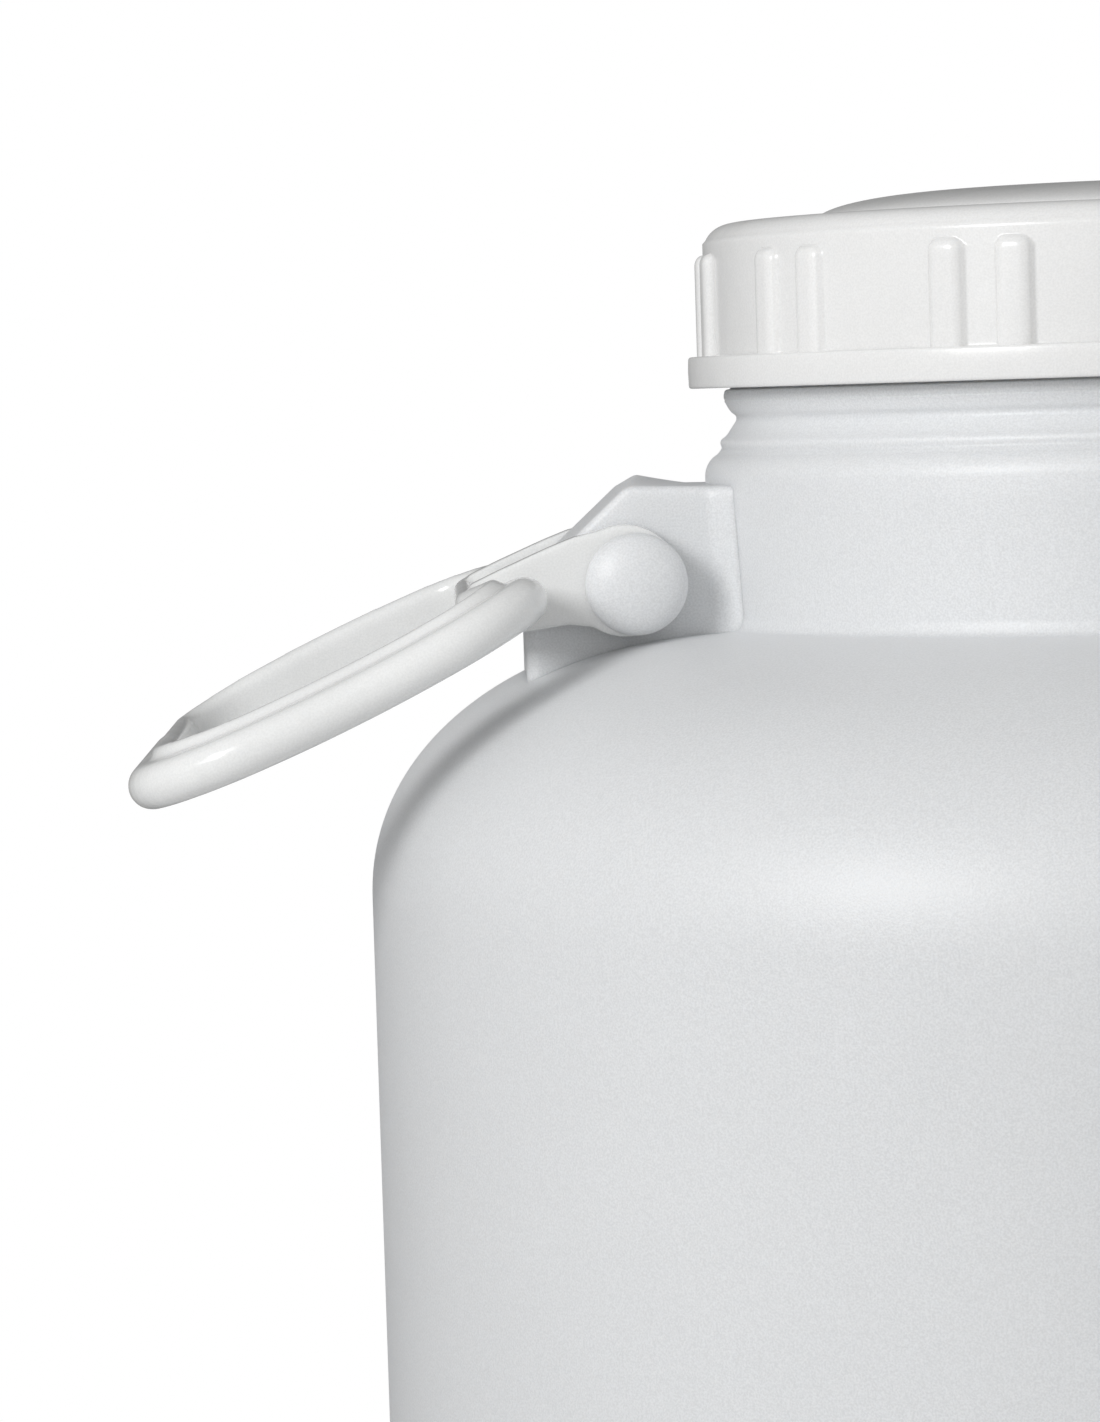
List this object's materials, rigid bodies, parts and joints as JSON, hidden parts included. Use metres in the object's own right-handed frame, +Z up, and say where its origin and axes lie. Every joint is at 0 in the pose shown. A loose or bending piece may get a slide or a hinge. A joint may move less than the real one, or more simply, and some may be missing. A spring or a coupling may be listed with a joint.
{
  "type": "wide-mouth plastic drum",
  "caption": "Round white plastic drum for food with a wide neck, a ribbed screw cap and swinging ring handles on the shoulder.",
  "frame": {"origin": "centre of the base, on the surface that the drum stands on", "axes": "+Z up along the drum's axis, +X towards the right handle, +Y towards the back"},
  "size_m": [0.432, 0.3352, 0.4899],
  "materials": {
    "drum_plastic": "satin milky white polyethylene with a faint mould grain",
    "cap_plastic": "smooth glossy white",
    "handle_plastic": "smooth glossy white, slightly milky"
  },
  "bodies": {
    "drum": {"drum_body": "drum_plastic", "cap": "cap_plastic"},
    "left_handle": {"handle_left": "handle_plastic"},
    "right_handle": {"handle_right": "handle_plastic"}
  },
  "joints": [
    {"name": "left_handle_swing", "type": "hinge", "parent": "drum", "child": "left_handle", "pos_m": [-0.1105, 0, 0.41], "axis": [0, 1, 0], "range_deg": [0, 110]},
    {"name": "right_handle_swing", "type": "hinge", "parent": "drum", "child": "right_handle", "pos_m": [0.1105, 0, 0.41], "axis": [0, -1, 0], "range_deg": [0, 110]}
  ]
}
